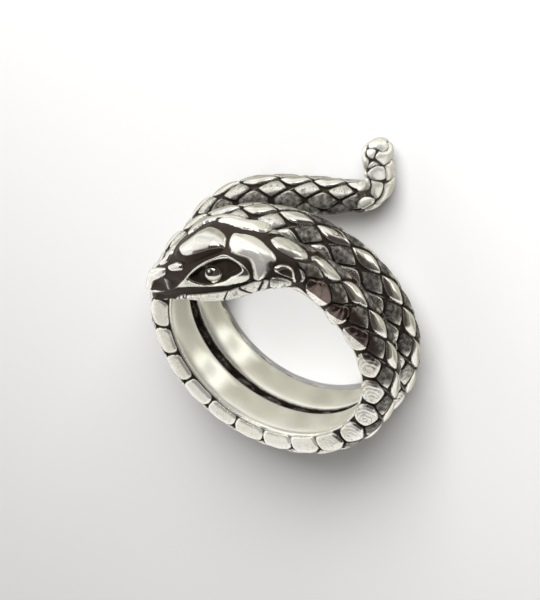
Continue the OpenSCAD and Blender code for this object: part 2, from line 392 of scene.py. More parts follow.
def scale_lattice(d, a):
    """For each point: where it is on the body, which scale it is on and where on that scale it lies.

    w: rows from the back; plus and minus: lattice numbers of the scale; x and y: place on it in counts and
    rows; e: distance inside its outline; on: 1 on the scales and 0 on the smooth band.
    """
    g = SimpleNamespace(a=signed(a), s=length_at(d), share=share_at(d))
    g.n = np.interp(g.s, SCALE_AT[:, 1], SCALE_AT[:, 0])
    g.step = np.interp(g.n, SCALE_AT[1:, 0] - 0.5, np.diff(SCALE_AT[:, 1]) / np.diff(SCALE_AT[:, 0]))
    g.row = ROW_MM * g.share
    g.v = row_at(d, g.a)
    g.w = np.abs(g.v)
    g.side = np.sign(g.v)
    # the rows interlock as a net; past row 2 the side scales run on to the band, except on the loose tail
    netted = (g.w <= 2) | (g.s > COIL_L + 1.5)
    g.plus = np.where(netted, np.round(g.n + g.v / 2), np.round(g.n) + g.side)
    g.minus = np.where(netted, np.round(g.n - g.v / 2), np.round(g.n) - g.side)
    g.kind = np.abs(g.plus - g.minus)
    g.x = g.n - (g.plus + g.minus) / 2
    g.y = g.v - (g.plus - g.minus)
    g.lean_a = chance(g.plus, g.minus, 1) - 0.5
    g.lean_b = chance(g.plus, g.minus, 2) - 0.5
    # the side scales are squarer toward the band, most of all on the lower rim
    g.under = between(g.s, *LOWER_RIM)
    square = eased(g.w, 1.5, 1.0) * (g.kind == 2)
    g.fine = g.under * square
    shell_wide = SHELL_HALF[0] + square * (0.02 + 0.03 * g.under)
    shell_tall = np.where(netted, SHELL_HALF[1], SIDE_V - 2)
    shell = inset(g, shell_wide, shell_tall, SHELL_HALF[2] + square * (1.2 + 3 * g.under))
    g.e = np.where(g.kind == 0, lens(g, *LEAF_HALF), np.where(g.kind == 1, inset(g, *DIAMOND_HALF), shell))
    g.rise = eased(g.e, *SCALE_EDGE)
    # the scales end at the smooth inner band, and cover all the loose tail
    lip_line = np.maximum(smooth((16 - g.s) / 4), eased(g.s, 31, 5))
    g.edge_v = SIDE_V - 0.08 + 0.15 * lip_line + 2.5 * eased(g.s, COIL_L + 0.5, 2.5)
    g.on = 1 - smooth((g.w - g.edge_v + 0.12) / 0.22)
    return g


def plain_scales(g):
    """Height and dark grooves of the scales."""
    kinds = (g.kind == 0, g.kind == 1)
    crown = np.select(kinds, CROWNS[:2], CROWNS[2] - 0.09 * g.under)
    dome = domed(g.e, np.where(kinds[0], 0.7, 0.6))
    tilt = 0.10 * g.x + 0.12 * g.lean_a * g.x + 0.05 * g.lean_b * g.y
    # on the rim the grooves are shallow, and fade toward the band
    joined = g.fine * eased(g.w, 2.2, 0.3) * smooth((36 - g.s) / 8)
    deep = GROOVE_DEEP - 0.14 * g.fine - 0.03 * joined
    high = g.on * (g.rise * (SCALE_EDGE_H + crown * dome + tilt) - deep * (1 - g.rise))
    dark = g.on * (1 - 0.4 * joined) * (1 - smooth((g.e - 0.03 + 0.02 * g.fine) / DARK_EDGE))
    # a fine ridge runs in the middle of the grooves that slant one way
    slant = (0.5 - np.abs(g.n + g.v / 2 - np.round(g.n + g.v / 2))) / np.hypot(1 / g.step, 0.5 / g.row)
    ridge = bump(slant, 0.06) * (g.e < 0.02) * (g.w < 1.35) * (chance(g.plus + g.minus, 3, 4) > 0.35)
    return high + 0.06 * ridge, dark * (1 - 0.6 * ridge)


def kept_patina_and_shade(g):
    """Mottled patina of the diamonds next to the head and above it, deepened with painted shade, whose ends
    toward the tail are worn.
    """
    kept = between(g.s, *KEPT_NEAR_HEAD) + between(g.s, *KEPT_ABOVE_HEAD)
    worn = 0.6 * eased(g.x, 0.12, 0.26)
    return KEPT_DARK * kept * (1 - worn) * (g.kind == 1) * g.on


def casting_marks(g):
    """Curled marks on the lower scales, as rings round a point on each scale."""
    marked = eased(g.s, 6, 3) * (1 - 0.85 * eased(g.s, 18, 5)) * (g.kind == 2)
    marked += between(g.s, *MARKED_ABOVE) * (g.kind > 0)
    from_fold = np.hypot((g.x - 0.12) * g.step, g.y * g.row - 0.15 * g.side)
    rings = (0.5 - 0.5 * np.cos(2 * math.pi * from_fold / MARK_STEP)) ** 1.5
    return marked * g.on * smooth(g.e / 0.3 - 0.3) * rings * smooth(0.9 + 0.8 * g.lean_b - g.x * 2.5)


def red_folds(g):
    """Height, dark and red of the side scales next to the head: a red fold over a pale, combed lobe."""
    flank = between(g.s, *RED_AT)
    fold = g.w - (2.55 - 0.065 * g.s - 0.9 * g.x)
    crease = np.sin(9 * np.arctan2(g.x * g.step + 0.9, (g.w - 1.2) * g.row) + 3 * g.lean_a)
    above_fold = np.where(g.kind == 2, 1 - smooth(fold / 0.1), (g.kind == 1) * eased(g.w, 0.95, 0.15))
    upper = flank * g.rise * above_fold
    creased = 0.5 * upper * smooth(crease * 1.4 - 0.3)
    comb = smooth(np.sin(2 * math.pi * g.x * g.step / 0.3 + 6 * g.lean_a) * 2)
    comb = comb * smooth((0.42 - g.e) / 0.25) * smooth(fold / 0.1) * (g.w > 2.2)
    combed = g.on * flank * (g.kind == 2) * np.maximum(0.8 * bump(fold, 0.07), 0.75 * comb)
    high = 0.03 * upper * crease + 0.07 * upper * (g.kind == 2)
    return high, np.maximum(creased, combed), upper * smooth(g.e / 0.12)


def touching(g):
    """Dark where two turns lie against each other."""
    touch = np.where(g.a < 0, between(g.s, *TOUCH_FIRST), between(g.s, *TOUCH_SECOND))
    touch *= between(np.abs(g.a), 84, 8, TOUCH_A + 2, 14)
    return touch * (1 - 0.33 * eased(np.abs(g.a), 104, 12))


def body_relief(d, a):
    """Height, dark recess with some painted shade, roughness, smooth band and red tint of the scales."""
    g = scale_lattice(d, a)
    high, dark = plain_scales(g)
    marks = casting_marks(g)
    fold_high, fold_dark, red = red_folds(g)
    high = (high - MARK_DEEP * marks + fold_high) * np.sqrt(g.share)
    rim_line = bump(g.w - g.edge_v + 0.08, 0.08) * between(g.s, *RIM_LINE_AT)
    tail_patina = between(g.s, *TAIL_PATINA) * smooth((g.w - 1.15 + 0.5 * g.x) / 0.35) * g.on
    dark = np.max((dark, kept_patina_and_shade(g), MARK_DARK * marks, RIM_DARK * rim_line, fold_dark, touching(g),
                   TAIL_DARK * tail_patina), axis=0)
    rough = np.select((g.kind == 0, g.kind == 1), ROUGH[:2], ROUGH[2])
    rough = np.where((g.kind == 2) & (g.s < 50), ROUGH_FRONT - 0.2 * g.under, rough)
    rough = np.where((g.kind == 1) & (g.s < 16), ROUGH_NEAR_HEAD, rough)
    rough = np.clip(rough + 0.25 * (chance(g.plus, g.minus, 0) - 0.5), 0, 1) * g.on
    return high, dark, rough, BAND_SATIN * np.maximum(1 - g.on, g.fine * g.rise), red


# Plates have outlines by distance along the body and degrees round it. A degree is this many millimetres.
ROUND = 0.055
TIP_ROUND = 0.028


def along(x, table):
    return np.interp(x, [p[0] for p in table], [p[1] for p in table])


def rounded(points, per_degree, cuts):
    """A closed outline with its corners cut, in millimetres."""
    q = np.array(points, float) * (1, per_degree)
    for _ in range(cuts):
        after = np.roll(q, -1, 0)
        q = np.stack([0.78 * q + 0.22 * after, 0.22 * q + 0.78 * after], 1).reshape(-1, 2)
    return q


def inside(x, y, points, per_degree=ROUND, cuts=2):
    """Distance inside a rounded outline, negative outside it."""
    q = rounded(points, per_degree, cuts)
    best = np.full(x.shape, 1e9)
    within = np.zeros(x.shape, bool)
    for (x0, y0), (x1, y1) in zip(q, np.roll(q, -1, 0)):
        vx, vy = x1 - x0, y1 - y0
        t = np.clip(((x - x0) * vx + (y - y0) * vy) / (vx * vx + vy * vy + 1e-12), 0, 1)
        best = np.minimum(best, np.hypot(x - x0 - t * vx, y - y0 - t * vy))
        if y0 != y1:
            within ^= ((y0 > y) != (y1 > y)) & (x < (x1 - x0) * (y - y0) / (y1 - y0) + x0)
    return np.where(within, best, -best)


# Scales of the tail's tip: where they begin, as distances by the angle from the back, and their outlines.
TIP_FROM = [(0, 141.7), (25, 141.8), (40, 142.3), (60, 142), (180, 142)]
TIP_PLATES = [
    [(148.5, -20), (150, -20), (150, 190), (148.2, 190), (148.13, 178), (148.2, 165), (148.3, 150),
     (148.53, 138), (148.62, 116), (148.63, 89), (148.56, 72), (148.5, 52)],
    [(148.4, 54), (148.52, 90), (148.46, 108), (148.23, 104), (147.78, 100), (147.66, 91),
     (147.76, 78), (148.06, 62)],
    [(148.44, 133), (148.22, 148), (148.06, 168), (147.9, 190), (146.66, 190), (146.68, 165),
     (146.69, 154), (146.7, 147), (147.15, 128), (147.5, 113), (147.85, 110), (148.2, 115)],
    [(146.5, 69), (146.83, 73), (147.22, 89), (147.27, 100), (147.04, 113), (146.94, 123),
     (146.92, 105), (146.73, 86)],
    [(148.3, -20), (148.3, 40), (147.6, 52), (147.5, 66), (147.3, 76), (146.95, 72), (146.5, 62),
     (146.1, 45), (146.05, -20)],
    [(146.1, 64), (146.62, 87), (146.82, 110), (146.64, 134), (146.5, 147), (146.27, 151),
     (145.82, 152), (145.4, 149), (145.36, 133), (145.5, 107), (145.56, 88), (145.66, 75), (145.85, 65)],
    [(146.55, 153), (146.5, 190), (145, 190), (145.05, 163), (145.2, 153), (145.75, 157), (146.24, 157)],
    [(145.47, 79), (145.36, 90), (145.28, 114), (145, 137), (144.66, 134), (144.28, 129), (143.9, 122),
     (143.72, 109), (143.9, 92), (144, 78), (144.4, 75), (144.94, 80), (145.19, 80)],
    [(144.9, 147), (144.85, 190), (143.4, 190), (143.3, 150), (143.15, 136), (143.1, 130),
     (143.35, 129), (143.61, 134), (144.17, 141), (144.73, 142)],
    [(142.15, 70), (142.53, 62), (143.05, 63), (143.58, 80), (143.7, 102), (143.3, 116), (142.9, 110),
     (142.5, 112), (142.1, 116), (142, 96), (142.04, 82)],
    [(142.1, 126), (142.56, 122), (143, 127), (143.05, 140), (143.1, 190), (142, 190), (142, 150)],
    [(145.5, -20), (145.9, -20), (145.95, 50), (145.85, 56), (145.57, 56), (145.42, 46)],
    [(141, -20), (145.2, -20), (145.35, 40), (145.42, 60), (145.2, 70), (144.8, 69), (144.3, 61),
     (143.4, 43), (142.5, 32), (141.8, 28), (141, 28)],
]

# depth of the tip's grooves and height of its scales' crowns
TIP_GROOVE = 0.10
TIP_CROWN = 0.13


def tip_relief(d, a):
    """Height, dark recess, roughness, smooth band and red tint of the tail's tip."""
    t = np.abs(signed(a))
    x, y = d + 0 * t, t * TIP_ROUND
    e = np.max([inside(x, y, outline, TIP_ROUND, cuts=1) for outline in TIP_PLATES], axis=0) + 0.04
    high = -TIP_GROOVE + eased(e, -0.02, 0.12) * (TIP_GROOVE + TIP_CROWN * domed(e, 0.5))
    dark = 0.72 - 0.5 * smooth(e / 0.07) - 0.22 * smooth(e / 0.3)
    return high, dark, 0.1 + 0 * t, 0.45 + 0 * t, 0 * t


# Relief of the head: the far and the near edge of the groove along its middle.
FAR_EDGE = [(3.4, 29), (4.8, 20), (5, 10), (5.15, -6), (5.5, -14), (5.9, -15), (6.7, -11.5),
            (7.2, -9.5), (8.1, -6), (8.9, -4), (9.6, -4), (10.05, -1), (10.6, 0)]
NEAR_EDGE = [(2, 42), (4, 38), (4.9, 28.5), (5.45, 19.5), (6, 11), (6.35, 4), (7.05, 5.5), (7.95, 13),
             (8.8, 9), (9.75, 6), (10.3, 12), (11, 0)]
# the plates: height of the crown, its reach from the edge, roughness and outline
PLATES = {
    "brow": (0.30, 0.9, 0.05, [
        (3.95, 40), (4.4, 35), (4.9, 30), (5.45, 21), (6, 12), (6.35, 4), (7.05, 6), (7.95, 14),
        (8.3, 21), (8.46, 30), (8.55, 37), (8.4, 43), (7.6, 50.5), (6.5, 59), (5.4, 66), (4.8, 62),
        (4.2, 57), (3.85, 50)]),
    "rear": (0.34, 1.0, 0.04, [
        (8.52, 8), (8.6, 22), (8.78, 32), (9.08, 40), (9.38, 47), (9.85, 52), (10.03, 62), (10.08, 79),
        (10.12, 98), (10.36, 101), (10.6, 90), (10.72, 76), (10.86, 64), (10.92, 54), (10.82, 43),
        (10.6, 31), (10.28, 18), (9.74, 7)]),
    "bridge": (0.10, 0.4, 0.05, [(1.75, 44), (2.4, 36), (3.15, 28), (3.45, 34), (3.2, 48), (3, 54),
                                 (2.3, 52)]),
    "tip": (0.12, 0.7, 0.05, [(0.15, 3), (0.15, 44), (0.8, 41), (1.5, 38), (2, 30), (2.6, 3)]),
    "cap": (0.16, 0.6, 0.05, [
        (0.2, 50), (0.2, 117), (0.75, 117), (1.05, 104), (1.6, 98.5), (2.35, 91.5), (2.75, 82),
        (2.9, 66), (2.2, 58), (1.6, 49), (0.9, 46)]),
    "loreal": (0.14, 0.4, 0.05, [(3.25, 61), (4.2, 60), (4.8, 66), (4.75, 75), (3.6, 76), (3.2, 69)]),
    "lip": (0.08, 0.15, 0.15, [
        (0.1, 118), (1.2, 118.5), (2.6, 117.5), (3.2, 114), (3.7, 106), (4.2, 98), (4.6, 92),
        (5.1, 96), (6.4, 100.5), (8, 101.5), (9.3, 100), (10.1, 98), (10, 101.5), (9, 104),
        (7.2, 104.8), (5.7, 104.3), (4.7, 106), (3.9, 113.5), (3.1, 120), (1.3, 122.5), (0.1, 123)]),
    "crescent": (0.22, 0.5, 0.1, [
        (10.85, 71), (11.1, 63), (11.4, 61.5), (11.65, 64.5), (11.95, 72), (12.15, 85), (12.38, 99),
        (12.3, 107), (12, 95), (11.5, 90), (11.05, 84)]),
    "corner": (0.12, 0.5, 0.8, [
        (10.8, 95), (11.15, 93), (11.75, 99), (12.25, 110), (12.1, 120), (11.5, 131), (10.95, 131)]),
    "leaf": (0.20, 0.6, 0.05, [
        (10.6, 6), (10.85, -2), (11.2, -5), (11.7, -6), (12.2, -4), (12.7, -1), (13, 10), (13.05, 22),
        (12.8, 34), (12.4, 43), (12, 45), (11.6, 43), (11.2, 37), (10.87, 27), (10.68, 17)]),
}
# satin finish of some
SATIN = {"rear": 0.24, "leaf": 0.1, "cap": 0.2, "lip": 0.4}
# the part of the brow plate that is bare metal, outside the painted shade on its lower and front part, and
# the dark part of the crescent
BROW_LIT = [(4.45, 25), (4.6, -20), (9, -20), (9, 37), (8.4, 39.5), (7.9, 42.5), (7.1, 47.5),
            (6.5, 51), (5.75, 54.5), (5.1, 53.5), (4.6, 43)]
CRESCENT_DARK = [(11.02, 76), (11.2, 70.5), (11.48, 69.5), (11.68, 74), (11.83, 83), (11.9, 91),
                 (11.5, 86), (11.15, 82)]
# the hollow of the eye, the outer edge of its rim, and the eyeball's middle and radius
SOCKET = [(5.2, 87), (6.2, 75), (7, 67), (7.7, 60.5), (8.5, 55.5), (9.1, 54), (9.45, 61), (9.65, 72),
          (9.45, 79), (9.1, 85), (8.5, 92), (7.5, 97), (6.5, 96), (5.7, 92)]
RIM = [(4.7, 90), (5.4, 79), (6.6, 64.5), (7.9, 54.5), (8.7, 47), (9.2, 49.5), (9.65, 60), (9.9, 74),
       (9.95, 92), (9.6, 99), (8.5, 100.5), (7.2, 101.5), (5.8, 99.5), (4.8, 96)]
EYE = (7.42, 81.5)
EYE_R = 0.8
# the head's relief covers this outline, up to the nape
NAPE = [(-3, -30), (10, -30), (10.1, 0), (10.35, 16), (10.7, 34), (11.2, 42), (11.6, 47), (11.75, 54),
        (12, 62), (12.35, 76), (12.6, 90), (12.5, 130), (12.5, 230), (-3, 230)]
# height of the lip's lower edge and of the jaw's upper edge, by distance from the snout
LIP_Z = [(0, -1.45), (1.2, -1.6), (2.9, -1.2), (3.9, -0.75), (5.7, -0.62), (8.7, -0.5), (9.9, -0.3),
         (12, 0)]
JAW_Z = [(0, -2.2), (1.8, -2.3), (2.9, -1.95), (3.7, -1.6), (4.9, -1.4), (7, -1.1), (8.7, -0.95),
         (9.4, -0.7), (10.1, -0.35), (12, 0)]

# depth of the gaps between plates, how far a plate's edge lies under the plain skin, and the edge's rise by
# distance inside the outline: start and length
PLATE_GAP = 0.17
PLATE_SINK = 0.03
PLATE_EDGE = (-0.07, 0.17)
# height of the eye's rim, spacing of its fine ridges, depth of the hollow
RIM_H = 0.36
LASH_STEP = 0.24
SOCKET_DEEP = 0.34
# the nostril's two hollows: distance, angle and size
NOSTRILS = [(1.8, 107, 0.45), (3.35, 102, 0.4)]
MOUTH_DEEP = 0.36
# ticks on the lower jaw: distance and lean
JAW_TICKS = [(3.5, 0.35), (3.95, -0.2), (4.3, 0.3), (8.55, 0.9), (9.35, -0.5), (10.5, 0.2)]
# angle from the top where the smooth underside starts, and its edge's length
UNDERSIDE_AT = (136, 6)
# the head's relief ends before this distance, and the tip's begins after it
HEAD_RELIEF_D = 13.8
TIP_RELIEF_D = 141
# where the head's scales meet the body's: width of the edge and of its groove, and reach round the leaf
NAPE_EDGE = 0.16
NAPE_GROOVE = 0.12
LEAF_REACH = 0.2
# the tip is slimmer than the solid: all round, more on the outside of its bend, and from this distance on
TIP_SLIM = 0.08
TIP_SLIM_OUT = 0.22
TIP_SLIM_AT = (138, 4)
# the inner band's edges ease outward by this much, from this distance on
BAND_EASE = 0.15
BAND_EASE_AT = (12.5, 4)


def folded(d, a):
    """Place on the near side's plates: back from the snout and angle from the top, for either side."""
    far_edge = along(d, FAR_EDGE) + 3
    x = np.where(a >= far_edge, d, d + 2.2 * bump(d - 6.6, 1.8) * smooth((a + 50) / 35))
    start = along(x, NEAR_EDGE) - 6
    far = np.where(a > -60, start + (far_edge - a) * (60 - start) / (60 + far_edge), -a)
    return x, np.where(a >= far_edge, a, far)


def bare_share(name, e, h):
    """How far a plate's own metal shows. Painted shade darkens parts of the brow and rear plates; the
    crescent has a dark part.
    """
    bare = eased(e, -0.06, 0.10)
    # painted shade: the brow plate is dark outside its lit part
    if name == "brow":
        return bare * eased(inside(h.x, h.y, BROW_LIT), -0.06, 0.16)
    # painted shade: the rear plate is dark on its back lower part
    if name == "rear":
        return bare * (1 - 0.75 * eased(h.x, 10.25, 0.45) * eased(h.t, 46, 16))
    if name == "crescent":
        return bare * (1 - 0.9 * eased(inside(h.x, h.y, CRESCENT_DARK), -0.05, 0.1))
    return bare


def add_plates(h):
    for name, (crown, reach, coarse, outline) in PLATES.items():
        # the leaf is single, so it isn't mirrored to the far side
        e = inside(h.x, h.a * ROUND if name == "leaf" else h.y, outline)
        rise = eased(e, *PLATE_EDGE)
        h.high += rise * (PLATE_GAP - PLATE_SINK + crown * domed(e, reach))
        h.dark *= 1 - bare_share(name, e, h)
        h.rough += rise * coarse
        h.satin = np.maximum(h.satin, rise * SATIN.get(name, 0))


def add_eye(h):
    """The raised rim, the hollow inside it, and the eyeball with a dark pupil, a painted glint in it, and a
    satin lower half that stands in for its lit side.
    """
    into, out_of = inside(h.x, h.y, RIM), -inside(h.x, h.y, SOCKET)
    rim = eased(into, -0.08, 0.16) * eased(out_of, -0.02, 0.14)
    h.high += rim * RIM_H
    h.dark *= 1 - eased(into, -0.04, 0.1) * smooth(out_of / 0.1)
    lash = eased(h.x, 7.4, 0.4) * eased(h.t, 80, 5) * rim
    h.high += 0.025 * lash * np.sin(2 * math.pi * (h.x + 0.6 * h.y) / LASH_STEP)
    h.satin = np.maximum(h.satin * (1 - rim), 0.7 * lash)
    h.high -= SOCKET_DEEP * smooth((-out_of + 0.02) / 0.22)
    eye_d, eye_a = EYE
    e = np.hypot(h.x - eye_d, h.y - eye_a * ROUND)
    on_ball = smooth((EYE_R - e) / 0.05)
    h.high += 0.68 * np.sqrt(np.maximum(EYE_R**2 - e * e, 0))
    pupil = np.hypot((h.x - eye_d + 0.03) / 1.25, h.y - (eye_a - 5) * ROUND)
    # the glint is a painted highlight: a spot left bare in the dark pupil
    painted_glint = bump(np.hypot(h.x - eye_d + 0.05, h.y - (eye_a - 7) * ROUND), 0.09)
    h.dark = h.dark * (1 - on_ball) + on_ball * np.maximum(0.8 * smooth((0.36 - pupil) / 0.08) - painted_glint, 0)
    # painted light: the ball's lower half is satin and cream, for its lit side
    h.satin = np.maximum(h.satin, 0.9 * on_ball * smooth((h.y - (eye_a + 0.5) * ROUND) / 0.1))


def add_nostril(h):
    """Two hollows with a ridge between them."""
    for at_d, at_a, size in NOSTRILS:
        h.high -= 0.18 * bump(np.hypot((h.x - at_d) / 1.4, h.y - at_a * ROUND), size) * h.dark
    ridge = bump(h.x - 2.62, 0.2) * between(h.t, 90, 6, 117, 6)
    h.high += 0.12 * ridge
    h.dark *= 1 - 0.55 * ridge


def add_mouth(h, z):
    """The mouth, and under it the lower jaw with its ticks."""
    lip_z, jaw_z = along(h.x, LIP_Z), along(h.x, JAW_Z)
    below = smooth((jaw_z - z) / 0.14)
    high = -MOUTH_DEEP * (1 - below) + 0.05 * bump(z - jaw_z + 0.22, 0.2)
    chin = smooth((3.3 - h.x) / 0.4) * smooth((150 - h.t) / 18)
    dark = (1 - below) + below * 0.9 * chin
    for at, lean in JAW_TICKS:
        tick = bump(h.x - at - lean * (z - jaw_z), 0.10) * below
        high -= 0.10 * tick
        dark = np.maximum(dark, tick)
    outer = 1 - eased(h.t, 150, 12)
    rough = 0.75 * below * eased(h.x, 3.3, 0.4) * outer
    k = smooth((lip_z - z + 0.03) / 0.1) * eased(h.t, 86, 4) * (1 - h.behind_jaw)
    h.high = (1 - k) * h.high + k * high
    h.dark = (1 - k) * h.dark + k * dark * outer
    h.rough = (1 - k) * h.rough + k * rough
    h.satin = np.maximum(h.satin, 0.5 * k * rough)


def head_relief(d, a, z):
    """Height, dark recess with painted shade and a painted glint, roughness, satin finish and red tint of
    the head.
    """
    h = SimpleNamespace(a=signed(a))
    h.x, h.t = folded(d, h.a)
    h.y = h.t * ROUND
    h.high = np.full(h.t.shape, -PLATE_GAP)
    h.dark = np.ones(h.t.shape)
    h.rough = np.zeros(h.t.shape)
    h.satin = np.zeros(h.t.shape)
    h.behind_jaw = 1 - smooth((10.9 - h.x) / 0.35)
    add_plates(h)
    add_eye(h)
    add_nostril(h)
    add_mouth(h, z)
    # behind the jaw the underside is smooth
    scaled = 1 - eased(h.t, *UNDERSIDE_AT) * h.behind_jaw
    high, dark, rough = h.high * scaled, h.dark * scaled, h.rough * scaled
    # the red shows in the nostrils, where the oxide is thinner
    red = 0.9 * bump(np.hypot((h.x - 2.6) / 1.6, h.y - 104 * ROUND), 0.7) * dark
    return high, np.clip(dark * (1 - 0.35 * red), 0, 1), np.clip(rough, 0, 1), h.satin, red


def finger_clear(p, ease):
    """Keeps the skin out of the finger hole, which leaves an inner band that eases outward to its edges."""
    r = np.hypot(p[..., 0], p[..., 1])
    soft = 0.07
    hole = HOLE_R + ease
    clear = hole + soft * np.log1p(np.exp(np.clip((r - hole) / soft, -60, 60)))
    f = (np.where(r - HOLE_R > 2, r, clear) / r)[..., None]
    return np.concatenate([p[..., :2] * f, p[..., 2:]], -1)


def blend(looks, rows, share, others):
    """Mixes other looks into some rows of the looks."""
    for i, other in enumerate(others):
        looks[i][rows] = (1 - share) * looks[i][rows] + share * other


def skin(d, a):
    """Finished skin points, normals and the four wear values of a grid, whose darkness also holds painted
    shade.
    """
    base, y, z, mids = plain_skin(d, a)
    n, _ = grid_normals(base, mids)
    dd = d[:, None] + 0 * a
    looks = list(body_relief(dd, a))
    near = d < HEAD_RELIEF_D
    if near.any():
        around = signed(a[near])
        t = folded(dd[near], around)[1]
        leaf_edge = inside(dd[near], around * ROUND, PLATES["leaf"][3]) + LEAF_REACH
        to_nape = np.maximum(inside(dd[near], t * ROUND, NAPE), leaf_edge)
        body_share = smooth(0.5 - to_nape / NAPE_EDGE)
        blend(looks, near, 1 - body_share, head_relief(dd[near], a[near], z[near]))
        # a dark groove runs along the nape
        gap = bump(to_nape, NAPE_GROOVE) * (1 - eased(t, *UNDERSIDE_AT))
        blend(looks, near, gap, (-PLATE_GAP, 1, 0, 0, 0))
    last = d > TIP_RELIEF_D
    if last.any():
        from_edge = dd[last] - along(np.abs(signed(a[last])), TIP_FROM)
        blend(looks, last, smooth(from_edge / 0.2 + 0.5), tip_relief(dd[last], a[last]))
    high, dark, rough, band, red = looks
    slim = eased(d, *TIP_SLIM_AT)[:, None] * (TIP_SLIM + TIP_SLIM_OUT * eased(np.abs(signed(a)), 70, 70))
    start, end = smooth(d / 0.35)[:, None], smooth((ALL_L - d) / 0.4)[:, None]
    ease = BAND_EASE * np.abs(y / (BODY_W / 2)) ** 2.5 * eased(d, *BAND_EASE_AT)[:, None]
    pts = finger_clear(base + ((high - slim) * start * end)[..., None] * n, ease)
    # the lowest scales are worn flat where the ring lies on them
    pts[..., 2] = np.maximum(pts[..., 2], FLOOR_Z / MM)
    normals, flip = grid_normals(pts, mids)
    return pts, normals, flip, np.stack([np.clip(v, 0, 1) for v in (dark, rough, band, red)], -1)


def make_piece(name, pts, normals, flip, wear_and_shade, first_pole=None, last_pole=None):
    """A mesh of a grid that closes round, with an optional point at each end."""
    rows, cols = pts.shape[:2]
    verts, norm, all_wear_and_shade = pts.reshape(-1, 3), normals.reshape(-1, 3), wear_and_shade.reshape(-1, 4)
    i = np.arange(rows - 1)[:, None] * cols
    j = np.arange(cols)[None]
    j2 = (j + 1) % cols
    quads = np.stack([i + j, i + j2, i + cols + j2, i + cols + j], -1).reshape(-1, 4)
    if flip > 0:
        quads = quads[:, ::-1]
    faces = quads.tolist()
    for pole, ring in ((first_pole, 0), (last_pole, rows - 1)):
        if pole is None:
            continue
        k = len(verts)
        verts = np.vstack([verts, pole[0]])
        norm = np.vstack([norm, pole[1]])
        all_wear_and_shade = np.vstack([all_wear_and_shade, all_wear_and_shade[ring * cols]])
        for c in range(cols):
            t = (k, ring * cols + (c + 1) % cols, ring * cols + c)
            faces.append(t[::-1] if (ring > 0) != (flip > 0) else t)
    mesh = bpy.data.meshes.new(name)
    mesh.from_pydata((verts * MM).tolist(), [], faces)
    mesh.shade_smooth()
    mesh.normals_split_custom_set_from_vertices(norm.tolist())
    layer = mesh.color_attributes.new("wear_and_shade", "FLOAT_COLOR", "POINT")
    layer.data.foreach_set("color", all_wear_and_shade.astype(np.float32).ravel())
    mesh.materials.append(SILVER)
    piece = bpy.data.objects.new(name, mesh)
    bpy.context.scene.collection.objects.link(piece)
    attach(piece, "root")
    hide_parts("snake_ring")
    return piece


# Silver, with the dark oxide of the grooves, whose colour also paints shade on parts of the head and
# diamonds.
POLISHED = (0.90, 0.89, 0.85, 1)
YELLOWED = (0.86, 0.84, 0.76, 1)
CREAM = (0.70, 0.69, 0.60, 1)
DARK_RED = (0.10, 0.052, 0.045, 1)
OXIDE_AND_SHADE = (0.042, 0.031, 0.025, 1)
# noises: scale for a metre, detail and roughness
FINE_NOISE = (9000, 4, 0.65)
MID_NOISE = (2600, 3, 0.6)
WIDE_NOISE = (420, 2, 0.5)
STREAK_NOISE = (1500, 3, 0.6)
# height of the fine bump in metres
BUMP_H = 0.00006


class Nodes:
    """Short ways to add and link the nodes of one tree."""

    def __init__(self, tree):
        self.nodes = tree.nodes
        self.links = tree.links
        self.nodes.clear()

    def add(self, kind):
        return self.nodes.new(kind)

    def feed(self, socket, value):
        """Gives an input a value, or links an output to it."""
        if isinstance(value, bpy.types.NodeSocket):
            self.links.new(value, socket)
        else:
            socket.default_value = value

    def math(self, operation, *values, clamp=False):
        node = self.add("ShaderNodeMath")
        node.operation = operation
        node.use_clamp = clamp
        for socket, value in zip(node.inputs, values):
            self.feed(socket, value)
        return node.outputs[0]

    def ramp(self, value, low, high, kind="SMOOTHSTEP"):
        """0 below low and 1 above high."""
        node = self.add("ShaderNodeMapRange")
        node.interpolation_type = kind
        node.inputs["From Min"].default_value = low
        node.inputs["From Max"].default_value = high
        self.feed(node.inputs["Value"], value)
        return node.outputs[0]

    def mix(self, share, first, second):
        """One colour where the share is 0 and the other where it is 1."""
        node = self.add("ShaderNodeMix")
        node.data_type = "RGBA"
        for socket, value in ((0, share), (6, first), (7, second)):
            self.feed(node.inputs[socket], value)
        return node.outputs[2]

    def noise(self, vector, scale, detail, rough):
        node = self.add("ShaderNodeTexNoise")
        node.inputs["Scale"].default_value = scale
        node.inputs["Detail"].default_value = detail
        node.inputs["Roughness"].default_value = rough
        self.feed(node.inputs["Vector"], vector)
        return node.outputs["Fac"]


